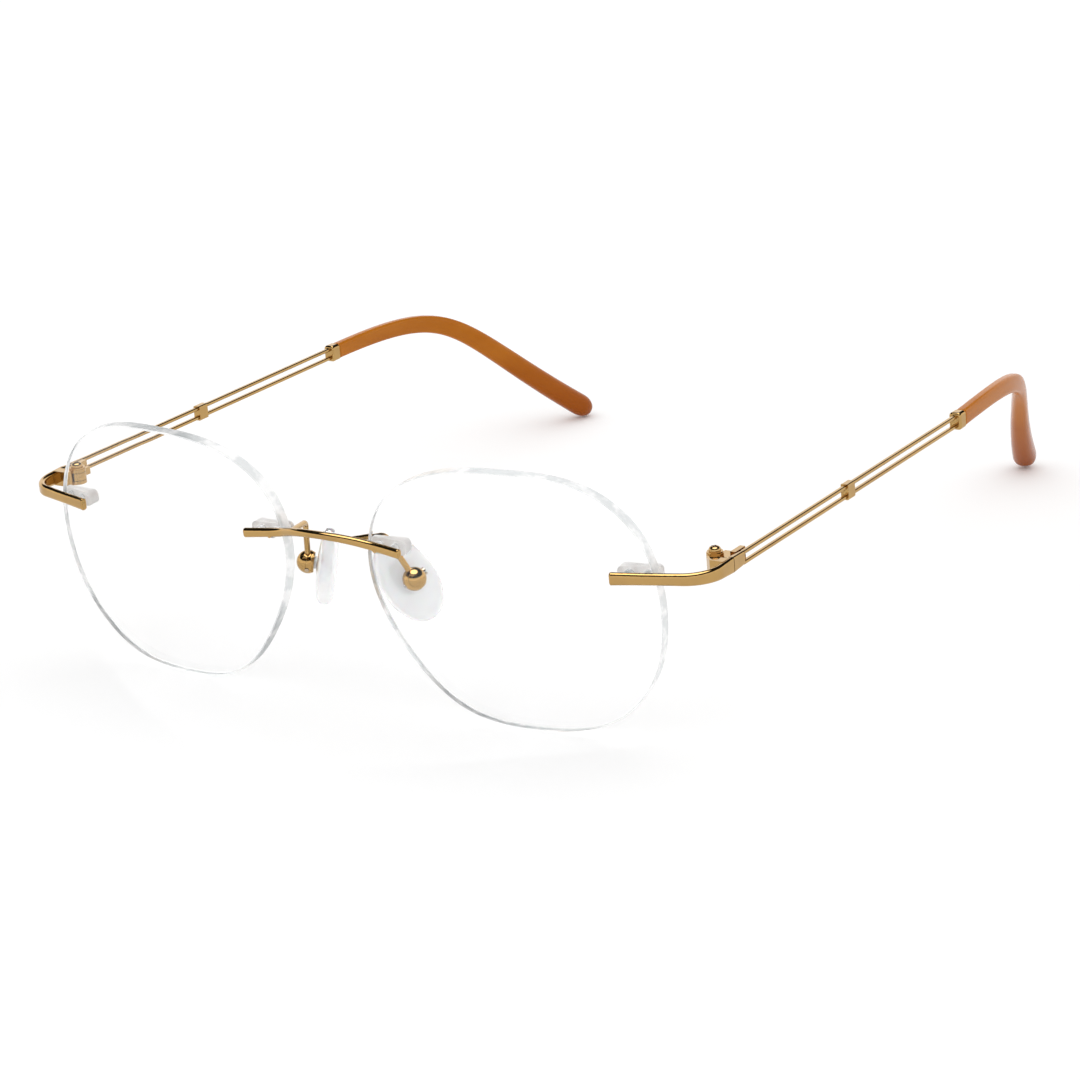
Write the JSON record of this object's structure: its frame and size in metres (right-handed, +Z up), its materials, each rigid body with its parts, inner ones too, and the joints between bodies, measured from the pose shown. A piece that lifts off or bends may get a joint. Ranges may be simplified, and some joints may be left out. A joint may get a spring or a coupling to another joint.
{
  "type": "rimless eyeglasses",
  "caption": "Rimless eyeglasses: rounded clear lenses drilled for a slim gold bridge and end pieces, twin-rail folding temples, rocking nose pads and amber tips.",
  "frame": {"origin": "middle of the whole object's footprint, on the surface that it stands on, with the temples open", "axes": "+Z up, -Y the way the wearer looks, +X to the wearer's left"},
  "size_m": [0.1312, 0.1512, 0.0425],
  "materials": {
    "gold": "polished gold-plated metal",
    "screw": "polished plated steel screws",
    "lens": "clear polished plano lens",
    "sleeve": "clear moulded plastic",
    "silicone": "clear slightly milky silicone",
    "anchor": "clear hard plastic",
    "acetate": "polished amber cellulose acetate"
  },
  "bodies": {
    "front": {"bridge": "gold", "left_bridge_sleeve": "sleeve", "left_end_piece": "gold", "left_end_sleeve": "sleeve", "left_hinge_screw": "screw", "left_hinge_washer": "gold", "left_lens": "lens", "left_pad_arm": "gold", "left_pad_box": "gold", "left_pad_screw": "screw", "right_bridge_sleeve": "sleeve", "right_end_piece": "gold", "right_end_sleeve": "sleeve", "right_hinge_screw": "screw", "right_hinge_washer": "gold", "right_lens": "lens", "right_pad_arm": "gold", "right_pad_box": "gold", "right_pad_screw": "screw"},
    "left_temple": {"left_crosspiece": "gold", "left_ferrule": "gold", "left_hinge_leaf": "gold", "left_lower_rail": "gold", "left_temple_plate": "gold", "left_temple_tip": "acetate", "left_tip_core": "gold", "left_upper_rail": "gold"},
    "right_temple": {"right_crosspiece": "gold", "right_ferrule": "gold", "right_hinge_leaf": "gold", "right_lower_rail": "gold", "right_temple_plate": "gold", "right_temple_tip": "acetate", "right_tip_core": "gold", "right_upper_rail": "gold"},
    "left_pad": {"left_nose_pad": "silicone", "left_pad_anchor": "anchor"},
    "right_pad": {"right_nose_pad": "silicone", "right_pad_anchor": "anchor"}
  },
  "joints": [
    {"name": "left_temple_fold", "type": "hinge", "parent": "front", "child": "left_temple", "pos_m": [0.06169, -0.05738, 0.02741], "axis": [0, 0, 1], "range_deg": [0, 88]},
    {"name": "left_pad_rock", "type": "hinge", "parent": "front", "child": "left_pad", "pos_m": [0.0106, -0.06363, 0.02031], "axis": [0.3925, 0.8178, 0.4209], "range_deg": [-10, 10]},
    {"name": "right_temple_fold", "type": "hinge", "parent": "front", "child": "right_temple", "pos_m": [-0.06169, -0.05738, 0.02741], "axis": [0, 0, -1], "range_deg": [0, 83]},
    {"name": "right_pad_rock", "type": "hinge", "parent": "front", "child": "right_pad", "pos_m": [-0.0106, -0.06363, 0.02031], "axis": [0.3925, -0.8178, -0.4209], "range_deg": [-10, 10]}
  ]
}
